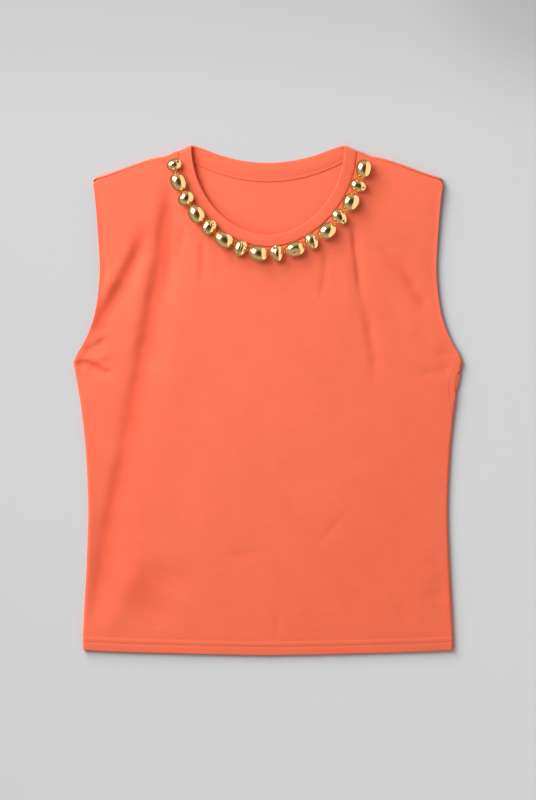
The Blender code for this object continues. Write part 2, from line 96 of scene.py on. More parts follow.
Station = namedtuple("Station", "height half_width")
SIDE = rows_of(
    Station,
    (0.0063, 0.2132), (0.0120, 0.2135), (0.0450, 0.2122), (0.1050, 0.2090),
    (0.1670, 0.2071), (0.2300, 0.2096), (0.2900, 0.2160), (0.3380, 0.2243),
)
ARMHOLE = rows_of(
    Station,
    (0.3380, 0.2243), (0.3460, 0.2208), (0.3575, 0.2138), (0.3748, 0.2056),
    (0.3978, 0.1988), (0.4209, 0.1955), (0.4439, 0.1940), (0.4900, 0.1964),
    (0.5303, 0.1998), (0.5445, 0.2022),
)
SHOULDER = rows_of(
    Station,
    (0.5445, 0.2022), (0.5488, 0.2005), (0.5510, 0.1972), (0.5536, 0.1884),
    (0.5734, 0.1296), (0.5754, 0.1180), (0.5807, 0.1065), (0.5824, 0.1000),
    (0.5878, 0.0884),
)
HEM = rows_of(
    Station,
    (0.0000, 0.0000), (0.0010, 0.0600), (0.0025, 0.1200), (0.0046, 0.1850),
    (0.0063, 0.2132),
)
UNDERARM = SIDE[-1].height
TIP = SHOULDER[0]

Stray = namedtuple("Stray", "height arc")
SEAM_STRAY = rows_of(  # where the right side seam lies over the edge, on the front
    Stray,
    (0.2620, 0.0), (0.2950, 0.0090), (0.3200, 0.0130), (0.3300, 0.0095), (0.3380, 0.0),
)

# Soft folds: points along the line as (across, height); the half width on the left and on the right of it,
# going down the top; the rise, which is negative in a trough; and the shares that it fades in and out over.
Fold = namedtuple("Fold", "line left right rise fade_in fade_out")
FOLDS = rows_of(
    Fold,
    # from the neck down to the left hem corner, a steep left bank and a gentle right one
    (((-115, 550), (-114, 519), (-116, 490), (-120, 460)), 8.5, 9, -2, 0.35, 0.45),
    (
        ((-110, 532), (-115, 490), (-122, 450), (-130, 405), (-139, 358), (-147, 320)),
        10, 19, -3.3, 0.22, 0.25,
    ),
    (((-131, 520), (-140, 450), (-150, 390), (-161, 330)), 10, 9, 1.7, 0.3, 0.4),
    (((-138, 365), (-157, 270), (-173, 195), (-188, 110), (-204, 20)), 38, 26, -1.3, 0.3, 0.2),
    (((-134, 385), (-148, 317), (-157, 270), (-168, 225)), 9, 20, -2.7, 0.3, 0.35),
    (((-157, 270), (-173, 195), (-183, 150), (-191, 95), (-202, 35)), 7.5, 17, -2.5, 0.3, 0.3),
    (((-112, 492), (-114, 462), (-116, 436), (-121, 410)), 4.5, 8, -1.7, 0.35, 0.45),
    (((-98, 480), (-104, 400), (-114, 310), (-134, 200), (-158, 100)), 17, 24, 0.9, 0.3, 0.4),
    # from the left shoulder blade to the underarm
    (
        ((-130, 510), (-145, 475), (-162, 440), (-176, 413), (-188, 388), (-198, 364)),
        9.5, 12, -3.1, 0.3, 0.12,
    ),
    (((-146, 492), (-163, 458), (-180, 427), (-195, 390)), 8, 9, 2.9, 0.4, 0.25),
    # small ones fanning out of the left underarm
    (
        ((-213, 350), (-204, 354), (-196, 358), (-187, 364), (-178, 367), (-168, 367)),
        3.2, 3.6, -2.2, 0.2, 0.5,
    ),
    (((-224, 334), (-211, 337), (-199, 332), (-186, 326), (-175, 328)), 7, 3.4, -3, 0.10, 0.45),
    (((-222, 338), (-210, 346), (-200, 351)), 3, 3, -1.2, 0.2, 0.5),
    (((-205, 338), (-190, 345), (-172, 347)), 5, 5, 0.9, 0.3, 0.5),
    # hanging from the neck seam
    (((-75, 480), (-76, 450), (-78, 415)), 3.8, 5.5, -0.95, 0.15, 0.6),
    (((-97, 497), (-101, 470), (-100, 440)), 4.5, 6, -1.1, 0.2, 0.6),
    (((-44, 463), (-41, 456), (-37, 448)), 2.2, 2.6, -0.7, 0.3, 0.4),
    (((64, 470), (66, 450), (64, 430), (57, 400)), 3.4, 4.6, -0.8, 0.15, 0.5),
    (((97, 500), (101, 465), (105, 433), (109, 405)), 3.4, 5, -1.8, 0.15, 0.3),
    (((107, 420), (116, 381), (121, 350), (123, 322), (121, 300)), 5.5, 7, -1.25, 0.3, 0.5),
    (((88, 480), (92, 430), (96, 380)), 9, 7, 0.6, 0.3, 0.4),
    # slack at the right armhole
    (((150, 465), (160, 440), (172, 418), (188, 395)), 6.5, 8, -1.5, 0.3, 0.3),
    (((128, 480), (146, 450), (162, 428)), 7, 8, -0.8, 0.3, 0.4),
    (((148, 400), (170, 372), (192, 356), (207, 345)), 6, 6, 1, 0.4, 0.2),
    (((150, 326), (180, 324), (200, 328), (214, 333)), 6, 7, -0.8, 0.5, 0.15),
    # slack in the lower part
    (((-108, 118), (-120, 80), (-138, 48), (-158, 32)), 26, 30, -1.5, 0.35, 0.3),
    (((-192, 16), (-172, 55), (-154, 95), (-140, 150)), 13, 14, 1.2, 0.2, 0.4),
    (((-60, 115), (-30, 116), (10, 121)), 4.5, 5, -0.6, 0.4, 0.4),
    (((98, 176), (84, 159), (66, 138), (46, 115)), 3, 4.5, -0.38, 0.4, 0.4),
    (((13, 56), (11, 32), (8, 15)), 3.5, 5, -0.35, 0.4, 0.2),
    (((146, 58), (156, 48), (166, 38)), 4, 4, -0.7, 0.4, 0.4),
    (((176, 72), (190, 69), (206, 69)), 6, 7, -0.6, 0.4, 0.2),
    (((188, 135), (194, 95), (198, 60), (199, 22)), 12, 9, -0.8, 0.4, 0.3),
    (((60, 60), (66, 180), (40, 300)), 45, 50, 0.5, 0.4, 0.4),
)
FOLD_REACH = 3.2  # widths out to which a fold is felt
WANDER, RIPPLE = (0.22, 17, 40), (0.12, 41, 1)  # its depth varies: how much, how fast and from where


def cubic(t, step, ends, slopes):
    """A smooth line between two values that starts and ends at given slopes, at shares t of the step."""
    level = ends[0] * (1 + 2 * t) * (1 - t) ** 2 + ends[1] * t * t * (3 - 2 * t)
    return level + step * (slopes[0] * t * (1 - t) ** 2 + slopes[1] * t * t * (t - 1))


def steady(rows):
    """A smooth curve through a table of two columns, which never swings past a row."""
    xs, ys = np.array(rows, float).T
    step, rise = np.diff(xs), np.diff(ys)
    secant = rise / step
    both = secant[:-1] * secant[1:]
    mean = np.where(both > 0, 2 * both / np.where(both > 0, secant[:-1] + secant[1:], 1), 0)
    slope = np.concatenate([secant[:1], mean, secant[-1:]])

    def curve(x):
        x = np.clip(x, xs[0], xs[-1])
        i = np.clip(np.searchsorted(xs, x) - 1, 0, len(step) - 1)
        return cubic((x - xs[i]) / step[i], step[i], (ys[i], ys[i + 1]), (slope[i], slope[i + 1]))

    return curve


side_half, armhole_half = steady(SIDE), steady(ARMHOLE)
shoulder_line = steady([(s.half_width, s.height) for s in SHOULDER[::-1]])
hem_line = steady([(s.half_width, s.height) for s in HEM])


def smooth_step(value, low, high):
    t = np.clip((value - low) / (high - low), 0.0, 1.0)
    return t * t * (3 - 2 * t)


def bump(value, centre, width):
    return np.exp(-(((value - centre) / width) ** 2))


def normalised(vectors):
    return vectors / np.linalg.norm(vectors, axis=-1, keepdims=True)


def distance_along(points):
    """How far each point of a line lies from its start, measured along it."""
    return np.concatenate([[0], np.cumsum(np.linalg.norm(np.diff(points, axis=0), axis=1))])


def half_width(height):
    return np.where(height < UNDERARM, side_half(height), armhole_half(height))


def armhole_open(height):
    """How far the two layers have parted at the side: 0 where they are sewn, 1 along the armhole."""
    return smooth_step(height, UNDERARM, UNDERARM + ARMHOLE_OPENS)


def side_edge(height):
    """Outermost line of the side fold. Along the armhole the cloth stops short of it."""
    return half_width(height) + SIDE_FOLD / 2 * (1 - np.cos(armhole_open(height) * math.pi / 2))


def through(points, count=26):
    """Points along a smooth line through a few given points."""
    points = np.array(points, float)
    run = distance_along(points)
    at = np.linspace(0, run[-1], count)
    slope = np.gradient(points, run, axis=0)
    i = np.clip(np.searchsorted(run, at) - 1, 0, len(run) - 2)
    step = (run[i + 1] - run[i])[:, None]
    return cubic((at - run[i])[:, None] / step, step, (points[i], points[i + 1]), (slope[i], slope[i + 1]))


FOLD_LINES = [through(fold.line) / 1000 for fold in FOLDS]


def beside(line, x, height):
    """For points of the plan: how far to the right of a line they lie, going down, and the share along it."""
    nearest = np.full(x.shape, 1e9)
    side, share = np.zeros(x.shape), np.zeros(x.shape)
    for k, (a, b) in enumerate(zip(line, line[1:])):
        along = b - a
        t = ((x - a[0]) * along[0] + (height - a[1]) * along[1]) / (along @ along)
        t = np.clip(t, 0, 1)
        dx, dh = x - a[0] - t * along[0], height - a[1] - t * along[1]
        away = dx * dx + dh * dh
        closer = away < nearest
        nearest = np.where(closer, away, nearest)
        side = np.where(closer, along[0] * dh - along[1] * dx, side)
        share = np.where(closer, (k + t) / (len(line) - 1), share)
    return np.copysign(np.sqrt(nearest), side), share


def folds_at(x, height):
    """Sum of the soft folds: each a rounded ridge or trough that dies away before its ends. Also how deep a
    point lies in the steep side of a trough: the share of painted shade, which tints the cloth redder and
    darker."""
    rise, fold_shade = np.zeros(x.shape), np.zeros(x.shape)
    for fold, line in zip(FOLDS, FOLD_LINES):
        reach = FOLD_REACH * max(fold.left, fold.right) / 1000
        low, high = line.min(0) - reach, line.max(0) + reach
        near = (x > low[0]) & (x < high[0]) & (height > low[1]) & (height < high[1])
        away, share = beside(line, x[near], height[near])
        width = np.where(away > 0, fold.right, fold.left) / 1000
        strength = smooth_step(share, 0, fold.fade_in) * (1 - smooth_step(share, 1 - fold.fade_out, 1))
        uneven = 1.0
        for (much, fast, origin), start in zip((WANDER, RIPPLE), fold.line[0]):
            uneven = uneven + much * np.sin(fast * share + origin * start)
        rise[near] += fold.rise / 1000 * strength * uneven * np.exp(-((away / width) ** 2))
        steep = min(fold.left, fold.right) / 1000 * (1 if fold.left <= fold.right else -1)
        # the share of painted shade, deepest in the steep side of a trough
        fold_shade[near] += max(-fold.rise, 0) / 3 * strength * np.exp(-((away + steep * 0.6) / steep) ** 2)
    sunk = np.maximum(-rise, 0) / DEEPEST
    rise = np.where(rise < 0, -DEEPEST * sunk / (1 + sunk**4) ** 0.25, rise)
    return rise, np.minimum(fold_shade, 1.0)


def front_neck(outside, t):
    """Front neck curve, `outside` beyond the neck edge; t runs from -1, left shoulder, over 0 to 1."""
    angle = np.abs(t) * math.pi / 2
    half, deep = NECK_HALF + outside, NECK_LEVEL - FRONT_NECK + outside
    across = half * np.sin(angle) ** (2 / NECK_ROUND)
    height = NECK_LEVEL - deep * np.abs(np.cos(angle)) ** (2 / NECK_ROUND)
    height = height + (shoulder_line(half) - NECK_LEVEL) * np.abs(t) ** 4
    return np.stack([np.copysign(across, t), height], -1)


def back_neck(outside, t):
    """Back neck curve, a shallow scoop between the same two neck points."""
    half, low = NECK_HALF + outside, BACK_NECK - outside
    return np.stack([half * t, low + (shoulder_line(half) - low) * t * t], -1)


NECK_EDGE = front_neck(0.0, np.linspace(-1, 1, 141))


def outside_neck(x, height):
    """How far a point lies from the front neck edge, measured only close to it."""
    out = np.full(x.shape, 1.0)
    near = (np.abs(x) < 0.125) & (height > FRONT_NECK - 0.035)
    out[near] = np.abs(beside(NECK_EDGE, x[near], height[near])[0])
    return out


def front_relief(x, height, inset):
    """Sewn detail of the front: the hem's, armhole's and neckband's ply under the cloth, which lifts it, and
    the rows of stitches, which pull it in."""
    above_hem = height - hem_line(np.abs(x))
    out = outside_neck(x, height)
    relief = HEM_LIFT * (1 - smooth_step(above_hem, HEM_TURN - 0.0006, HEM_TURN + 0.0010))
    for row in HEM_ROWS:
        relief -= HEM_DIP * bump(above_hem, row, ROW_WIDTH)
    opened = armhole_open(height) * (1 - smooth_step(height, *TURNING_ENDS))
    relief += ARMHOLE_LIFT * opened * (1 - smooth_step(inset, ARMHOLE_TURN - 0.0004, ARMHOLE_TURN + 0.0012))
    relief -= ARMHOLE_DIP * opened * bump(inset, ARMHOLE_ROW, 0.0008)
    relief += BAND_LIFT * (1 - smooth_step(out, BAND_INSIDE - 0.0004, BAND_INSIDE + 0.0012))
    relief -= NECK_DIP * bump(out, NECK_ROWS[1], ROW_WIDTH)
    relief -= SEAM_DIP * bump(out, BAND, ROW_WIDTH)
    return relief


HEM_ROWS = (0.0098, 0.0160)  # coverstitch rows above the hem's edge
NECK_ROWS = (0.0129, 0.0196)  # and outside the neck edge
ARMHOLE_ROW = 0.0052
ROW_WIDTH = 0.0009  # half width of the groove that a row makes
HEM_DIP, ARMHOLE_DIP, NECK_DIP = 0.00038, 0.00040, 0.00025  # and how deep it is
HEM_LIFT, ARMHOLE_LIFT, BAND_LIFT = 0.00050, 0.00060, 0.00035  # how much the ply inside lifts the cloth


def top_level(x, height):
    """Outer face of the front above the table."""
    inset = np.maximum(side_edge(height) - np.abs(x), 0.0)
    shoulder = smooth_step(height, SHOULDER_FROM, SHOULDER_FULL)
    opened = armhole_open(height)
    level = LOFT + (SHOULDER_FOLD - LOFT) * shoulder
    level = level + (SIDE_FOLD - LOFT) * np.exp(-inset / SIDE_ROUND) * (1 - opened)
    level -= ARMHOLE_DROP * opened * (1 - smooth_step(height, *DROP_ENDS)) * np.exp(-inset / ARMHOLE_ROUND)
    level += WAVE_RISE * np.sin(WAVES_ACROSS * x) * np.sin(WAVES_UP * height)
    down = np.maximum(NECK_LEVEL - height, 0.0) / (NECK_LEVEL - FRONT_NECK)
    ring = ((np.abs(x) / NECK_HALF) ** NECK_ROUND + down**NECK_ROUND) ** (1 / NECK_ROUND)
    from_neck = np.maximum(ring - 1, 0) * NECK_HALF
    level += NECK_LIFT * np.exp(-from_neck / NECK_LIFT_ROUND) * smooth_step(height, *LIFT_GROWS)
    hem = -HEM_DROP * np.exp(-np.maximum(height - hem_line(np.abs(x)), 0.0) / EDGE_ROUND)
    fades = smooth_step(inset, 0.0, EDGE_ROUND)
    return level + (folds_at(x, height)[0] + hem) * fades + front_relief(x, height, inset)


def over_edge(inset, radius):
    """Cloth at an arc length inside a folded edge: its distance in from the edge seen from above, and its
    lift: 1 on its own layer, 0 at the very edge and -1 once it has come round onto the other layer."""
    quarter = radius * math.pi / 2
    angle = np.clip(inset / radius, -math.pi / 2, math.pi / 2)
    flat = np.maximum(np.abs(inset) - quarter, 0)
    eased = (quarter - radius) * (1 - np.exp(-flat / EASE))
    return radius * (1 - np.cos(angle)) + flat + eased, np.sin(angle)


ACROSS = np.linspace(-0.21, 0.21, 421)
SHOULDER_RADIUS = top_level(ACROSS, shoulder_line(np.abs(ACROSS))) / 2


def lay(layer, plan):
    """Outer face of the front or back layer at points of its flat plan, in the laid-out garment."""
    across, height = plan[..., 0], plan[..., 1]
    edge = side_edge(height)
    inward, side_lift = over_edge(edge - np.abs(across), SIDE_FOLD / 2)
    x = np.copysign(edge - inward, across)
    line = shoulder_line(np.abs(x))
    fold = np.interp(x, ACROSS, SHOULDER_RADIUS)
    down, top_lift = over_edge(line - height, fold)
    h = line - down
    top, side = top_level(x, h), SIDE_FOLD / 2
    if layer == "front":
        z = side + (top - side) * side_lift
        z = fold + (z - fold) * top_lift
    else:
        z = np.where(side_lift >= 0, side * (1 - side_lift), side - (top - side) * side_lift)
        z = np.where(top_lift >= 0, z + fold * (1 - top_lift), fold - (top - fold) * top_lift)
    return np.stack([x, h - LENGTH / 2, z], -1)


stray_arc = steady(SEAM_STRAY)


def strayed(layer, plan):
    """The plan with its right side seam moved over the edge onto the front. The cloth beside it follows."""
    inset = side_edge(plan[..., 1]) - plan[..., 0]
    pull = stray_arc(plan[..., 1]) * (1 - smooth_step(inset, 0.008, 0.060))
    plan[..., 0] += pull if layer == "back" else -pull
    return plan


def side_point(layer, side, height):
    """A panel's side seam or armhole edge in its flat plan."""
    opened = SIDE_FOLD / 2 * armhole_open(height) * math.pi / 2
    hidden = BACK_HIDES * armhole_open(height) if layer == "back" else 0.0
    return np.stack([side * (side_edge(height) - opened - hidden - SIDE_GAP), height], -1)


def shoulder_reach(layer):
    """How far past the shoulder fold a layer's seam lies, along the cloth."""
    return (SHOULDER_SEAM if layer == "back" else -SHOULDER_SEAM) - SHOULDER_GAP / 2


def top_paths(layer):
    """A panel's right shoulder seam, the few millimetres where the seam turns into the neck seam, and half of
    the neck seam, which ends at the centre."""
    over = shoulder_reach(layer)
    tip = side_point(layer, 1, np.array(TIP.height + over))[0]
    corner = NECK_HALF + BAND + NECK_GAP
    along = np.linspace(0, 1, 60)
    across = tip + (corner - tip) * along
    line = shoulder_line(across + (TIP.half_width - tip) * (1 - along) ** 2)
    shoulder = np.stack([across, line + over], -1)
    curve = front_neck if layer == "front" else back_neck
    rest = curve(BAND + NECK_GAP, np.linspace(1, 0, 300))
    rest = rest[rest[:, 1] < shoulder[-1, 1]]
    turned = rest[rest[:, 1] > shoulder_line(corner) + over - abs(over) - NECK_GAP]
    turn = np.concatenate([shoulder[-1:], turned if layer == "front" else rest[:1]])
    return shoulder, turn, np.concatenate([turn[-1:], rest[len(turn) - 1 :]])


CORNER, TURNED = 0.22, 0.235  # fractions across a panel of its neck corner and of the turn beside it


def top_point(paths, s):
    """Points of a panel's top edge at fractions across it."""
    share = np.minimum(s, 1 - s)
    ends = (0.0, CORNER, TURNED, 0.5)
    point = np.zeros((*s.shape, 2))
    for path, low, high in zip(paths, ends, ends[1:]):
        run = distance_along(path)
        here = (share >= low) & (share <= high)
        at = (share[here] - low) / (high - low) * run[-1]
        point[here] = np.stack([np.interp(at, run, path[:, k]) for k in (0, 1)], -1)
    point[..., 0] *= np.where(s < 0.5, -1, 1)
    return point


def steps_after(low, high, count):
    """Even steps from low, left out, to high."""
    return low + (high - low) * np.linspace(0, 1, count + 1)[1:][None, :]


def plan_grid(layer, edge_steps, across_steps, hem_steps, middle_rows, top_steps):
    """Points of a panel's flat plan, blended between its hem, sides and top. The steps are distances in from
    a side, up from the hem and down from the top, so that a line of the grid runs along each turned or sewn
    edge. across_steps is how many columns each part of the top edge gets."""
    paths = top_paths(layer)
    low_edge, high_edge = SIDE[0].height + TURN_FOLD, TIP.height + shoulder_reach(layer)
    shoulder_columns, turn_columns, neck_columns = across_steps
    rows = len(hem_steps) + middle_rows + len(top_steps)
    nominal = np.interp(np.arange(rows), (0, rows - 1), (low_edge, high_edge))[:, None]
    width = side_point(layer, 1, nominal[:, 0])[:, 0] - side_point(layer, -1, nominal[:, 0])[:, 0]
    edge = np.array(edge_steps)[None, :] / width[:, None]
    last = edge[:, -1:]
    turn, neck = steps_after(CORNER, TURNED, turn_columns), steps_after(TURNED, 0.5, neck_columns)
    shoulder = steps_after(last, CORNER, shoulder_columns)
    half = np.concatenate([edge, shoulder, turn + last * 0, neck + last * 0], 1)
    s = np.concatenate([half, 1 - half[:, -2::-1]], 1)
    corners = [side_point(layer, side, np.array(low_edge)) for side in (-1, 1)]
    ceiling = [top_point(paths, np.array([s_end]))[0] for s_end in (0.0, 1.0)]
    across = corners[0][0] + (corners[1][0] - corners[0][0]) * s
    low = np.stack([across, hem_line(np.abs(across)) + TURN_FOLD], -1)
    high = top_point(paths, s)
    tall = (high - low)[..., 1]
    hem_part = np.array(hem_steps)[:, None] / tall[: len(hem_steps)]
    top_part = 1 - np.array(top_steps)[:, None] / tall[-len(top_steps) :]
    even = np.linspace(0, 1, 800)
    crowd = np.cumsum(1 + 3.0 * bump(even, (UNDERARM - 0.012 - low_edge) / (high_edge - low_edge), 0.035))
    crowd = (crowd - crowd[0]) / (crowd[-1] - crowd[0])
    blend = np.interp(np.linspace(0, 1, middle_rows + 2)[1:-1], crowd, even)[:, None]
    middle = (1 - blend) * hem_part[-1] + blend * top_part[0]
    t = np.concatenate([hem_part, middle, top_part])[..., None]
    s = s[..., None]
    sides = [side_point(layer, side, low_edge + t[..., 0] * (high_edge - low_edge)) for side in (-1, 1)]
    ruled = (1 - t) * low + t * high + (1 - s) * sides[0] + s * sides[1]
    bottom = (1 - s) * corners[0] + s * corners[1]
    top = (1 - s) * ceiling[0] + s * ceiling[1]
    return strayed(layer, ruled - (1 - t) * bottom - t * top)


def facing(layer, plan):
    """Unit vectors straight out of a layer's outer face, at points of its flat plan."""
    steps = np.array([0.00004, 0]), np.array([0, 0.00004])
    across, up = [lay(layer, plan + step) - lay(layer, plan - step) for step in steps]
    return normalised(np.cross(across, up)) * (1 if layer == "front" else -1)


def turn_hem(points, out, steps, depth):
    """Adds the ply that is folded up inside the hem: rows from its free edge down and round the fold."""
    ply, ply_out = [], []
    for inside in np.arange(depth, TURN_FOLD, -0.0020):
        k = int(np.argmin(np.abs(np.array(steps) - inside)))
        ply.append(points[k] - out[k] * 2 * TURN_FOLD)
        ply_out.append(-out[k])
    for angle in np.linspace(math.pi, 0, 7)[:-1]:
        round_fold = out[0] * math.cos(angle) - np.array([0.0, math.sin(angle), 0.0])
        ply.append(points[0] + (round_fold - out[0]) * TURN_FOLD)
        ply_out.append(round_fold)
    return np.concatenate([ply, points]), np.concatenate([ply_out, out])


def in_scene(name, data):
    obj = bpy.data.objects.new(name, data)
    bpy.context.scene.collection.objects.link(obj)
    return obj


def cloth(name, points, out, flip=False):
    """One ply of cloth through a grid of points on its outer face, with a wall inwards and closed edges."""
    rows, columns = points.shape[:2]
    number = np.arange(rows * columns).reshape(rows, columns)
    faces = np.stack([number[:-1, :-1], number[:-1, 1:], number[1:, 1:], number[1:, :-1]], -1).reshape(-1, 4)
    rim = np.concatenate([number[0, :-1], number[:-1, -1], number[-1, :0:-1], number[:0:-1, 0]])
    edge = np.stack([np.roll(rim, -1), rim, rim + number.size, np.roll(rim, -1) + number.size], -1)
    faces = np.concatenate([faces, faces[:, ::-1] + number.size, edge])
    if flip:
        faces = faces[:, ::-1]
    mesh = bpy.data.meshes.new(name)
    corners = np.concatenate([points, points - out * PLY]).reshape(-1, 3)
    mesh.from_pydata(corners, [], faces)
    mesh.shade_smooth()
    mesh.set_sharp_from_angle(angle=math.radians(50))
    return in_scene(name, mesh)


def panel(layer, edge_steps, across_steps, hem_steps, middle_rows, top_steps):
    """A panel laid through its flat plan, with its hem turned up, and the size and area of its flat cut."""
    plan = plan_grid(layer, edge_steps, across_steps, hem_steps, middle_rows, top_steps)
    face, out = turn_hem(lay(layer, plan), facing(layer, plan), hem_steps, HEM_TURN - 0.0015)
    one, other = plan[1:, 1:] - plan[:-1, :-1], plan[1:, :-1] - plan[:-1, 1:]
    cells = np.abs(one[..., 0] * other[..., 1] - one[..., 1] * other[..., 0]).sum() / 2
    size = float(np.ptp(plan[..., 0])), float(np.ptp(plan[..., 1]) + HEM_TURN)
    area = float(cells + HEM_TURN * np.ptp(plan[0, :, 0]))
    return cloth(layer, face, out, flip=layer == "back"), size, area


def millimetres(*steps):
    return tuple(round(step / 1000, 4) for step in steps)


EDGE_STEPS = millimetres(0, 0.4, 0.9, 1.5, 2.2, 3.0, 4.0, 5.0, 5.8, 6.4, 7.4, 9.0)
HEM_STEPS = millimetres(0, 0.6, 1.6, 3.1, 5.1, 7.1, 8.1, 8.9, 9.7, 11.1, 13.1, 14.3, 15.1, 15.9, 17.1, 19.1)
TOP_STEPS = millimetres(10.0, 8.5, 7.5, 6.6, 5.8, 5.0, 4.2, 3.4, 2.6, 1.9, 1.2, 0.6, 0)
front, front_size, front_area = panel("front", EDGE_STEPS, (34, 3, 52), HEM_STEPS, 150, TOP_STEPS)


def paint_fold_shade(obj, share_at):
    """Stores the share of painted shade for its material, which tints the cloth redder and darker there."""
    place = np.empty(3 * len(obj.data.vertices))
    obj.data.vertices.foreach_get("co", place)
    share = share_at(place[0::3], place[1::3] + LENGTH / 2)
    obj.data.attributes.new("painted_fold_shade", "FLOAT", "POINT").data.foreach_set("value", share)


def fold_shade_at(x, height):
    return folds_at(x, height)[1]


def shade_under_neck_edge(x, height):
    """Share of painted shade close to the left of the front neck edge, which stands up from the back and
    shades it.
    """
    return bump(outside_neck(x, height), 0, 0.007) * (1 - smooth_step(x, -0.03, 0.04))


# painted shade in the troughs of the folds
paint_fold_shade(front, fold_shade_at)


def fill(node, inputs):
    """Sets a node's inputs, each to a value or to another node's output."""
    for key, value in inputs.items():
        if isinstance(value, bpy.types.NodeSocket):
            node.id_data.links.new(value, node.inputs[key])
        else:
            node.inputs[key].default_value = value


def node_tree(tree):
    """Adds nodes to a tree: add("ShaderNodeMath", {0: 1.0, 1: other_socket}, operation="ADD")."""

    def add(kind, inputs=None, **settings):
        node = tree.nodes.new(kind)
        for key, value in settings.items():
            setattr(node, key, value)
        fill(node, inputs or {})
        return node

    return add


def maths(add, operation, a, b=0.0, c=0.0):
    return add("ShaderNodeMath", {0: a, 1: b, 2: c}, operation=operation).outputs[0]


def mix(add, share, one, other, **settings):
    """A colour between two, by its share of the other."""
    return add("ShaderNodeMix", {0: share, 6: one, 7: other}, data_type="RGBA", **settings).outputs[2]


def new_material(name):
    """A material, the helper that adds nodes to it, and its shader."""
    material = bpy.data.materials.new(name)
    material.use_nodes = True
    tree = material.node_tree
    return material, node_tree(tree), tree.nodes["Principled BSDF"]


def jersey_group():
    """Fine single jersey: upright columns of small V loops, and slubs, which are thicker stretches of yarn
    that make faint streaks across it. Colour comes out tinted by the slubs, and redder and darker by the
    painted shade stored on the cloth. Height is for a Bump node."""
    group = bpy.data.node_groups.new("fine_jersey", "ShaderNodeTree")
    sockets = group.interface
    sockets.new_socket("Colour", in_out="INPUT", socket_type="NodeSocketColor")
    sockets.new_socket("Fold Colour", in_out="INPUT", socket_type="NodeSocketColor")
    for name, start in (("Slub", 0.06), ("Mottle", 0.03), ("Wale", 0.00075), ("Course", 0.00055)):
        sockets.new_socket(name, in_out="INPUT", socket_type="NodeSocketFloat").default_value = start
    sockets.new_socket("Colour", in_out="OUTPUT", socket_type="NodeSocketColor")
    sockets.new_socket("Height", in_out="OUTPUT", socket_type="NodeSocketFloat")
    add = node_tree(group)
    given = add("NodeGroupInput").outputs
    place = add("ShaderNodeTexCoord").outputs["Object"]

    def noise(size, detail, roughness=0.5):
        stretched = add("ShaderNodeMapping", {0: place, "Scale": [1 / s for s in size]}).outputs[0]
        inputs = {"Vector": stretched, "Scale": 1.0, "Detail": detail, "Roughness": roughness}
        return add("ShaderNodeTexNoise", inputs).outputs["Fac"]

    long_slub = noise((0.0150, 0.0019, 0.01), 1.5, 0.6)
    short_slub = noise((0.0060, 0.0011, 0.01), 1.0)
    mottle = noise((0.032, 0.040, 0.05), 4.0, 0.6)
    patches = noise((0.026, 0.018, 0.02), 1.0)
    cloudy = noise((0.0110, 0.0065, 0.01), 2.0)
    short_slub = maths(add, "MULTIPLY", short_slub, 0.35)
    slub = maths(add, "ADD", maths(add, "MULTIPLY", long_slub, 0.45), short_slub)
    slub = maths(add, "MULTIPLY_ADD", cloudy, 0.2, slub)
    patchy = maths(add, "MULTIPLY_ADD", patches, 2.4, -0.2)
    centred = maths(add, "MULTIPLY", maths(add, "SUBTRACT", slub, 0.5), patchy)
    shade = maths(add, "MULTIPLY_ADD", centred, given["Slub"], 1.0)
    shade = maths(add, "MULTIPLY_ADD", maths(add, "SUBTRACT", mottle, 0.5), given["Mottle"], shade)
    # painted shade: the colour is tinted redder and darker by the share stored on the cloth
    fold_shade = add("ShaderNodeAttribute", attribute_name="painted_fold_shade").outputs["Fac"]
    lit = mix(add, fold_shade, given["Colour"], given["Fold Colour"])
    tinted = add("ShaderNodeVectorMath", {0: lit, "Scale": shade}, operation="SCALE").outputs[0]
    split = add("ShaderNodeSeparateXYZ", {0: place}).outputs
    column = maths(add, "PINGPONG", maths(add, "DIVIDE", split["X"], given["Wale"]), 0.5)
    leg = maths(add, "MULTIPLY", column, 2.0)
    phase = maths(add, "ADD", maths(add, "DIVIDE", split["Y"], given["Course"]), leg)
    loop = maths(add, "SINE", maths(add, "MULTIPLY", phase, 2 * math.pi))
    rib = maths(add, "SINE", maths(add, "MULTIPLY", leg, math.pi))
    knit = maths(add, "MULTIPLY", maths(add, "MULTIPLY_ADD", loop, 0.35, 0.65), rib)
    height = maths(add, "MULTIPLY_ADD", centred, 1.2, maths(add, "MULTIPLY", knit, 0.5))
    add("NodeGroupOutput", {"Colour": tinted, "Height": height})
    return group


FOLD_SHADE_TINT = (0.97, 0.78, 0.70)  # painted shade: the tint that the jersey's colour takes in folds and under the neck edge, redder and darker
knit = jersey_group()


def jersey_material(name, colour, slub, mottle):
    material, add, shader = new_material(name)
    redder = [k * c for k, c in zip(FOLD_SHADE_TINT, colour)]
    inputs = {"Colour": (*colour, 1), "Fold Colour": (*redder, 1), "Slub": slub, "Mottle": mottle}
    knitted = add("ShaderNodeGroup", inputs, node_tree=knit).outputs
    relief = add("ShaderNodeBump", {"Strength": 0.35, "Distance": 0.00025, "Height": knitted["Height"]})
    fill(shader, {"Base Color": knitted["Colour"], "Normal": relief.outputs[0], "Roughness": 0.85})
    fill(shader, {"Specular IOR Level": 0.25, "Sheen Weight": 0.12, "Sheen Roughness": 0.45})
    fill(shader, {"Sheen Tint": (1.0, 0.75, 0.62, 1)})
    return material


jersey = jersey_material("coral_jersey", (0.854, 0.151, 0.0760), 0.14, 0.12)
front.data.materials.append(jersey)
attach(front, "root")
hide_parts("front_panel")

# ----------------------------------------------------------------------------------------------- back panel
# The back is cut from the same jersey with a shallow neck. It lies flat on the table, comes over the shoulder
# fold to its seams on the front, and shows through the neck opening.

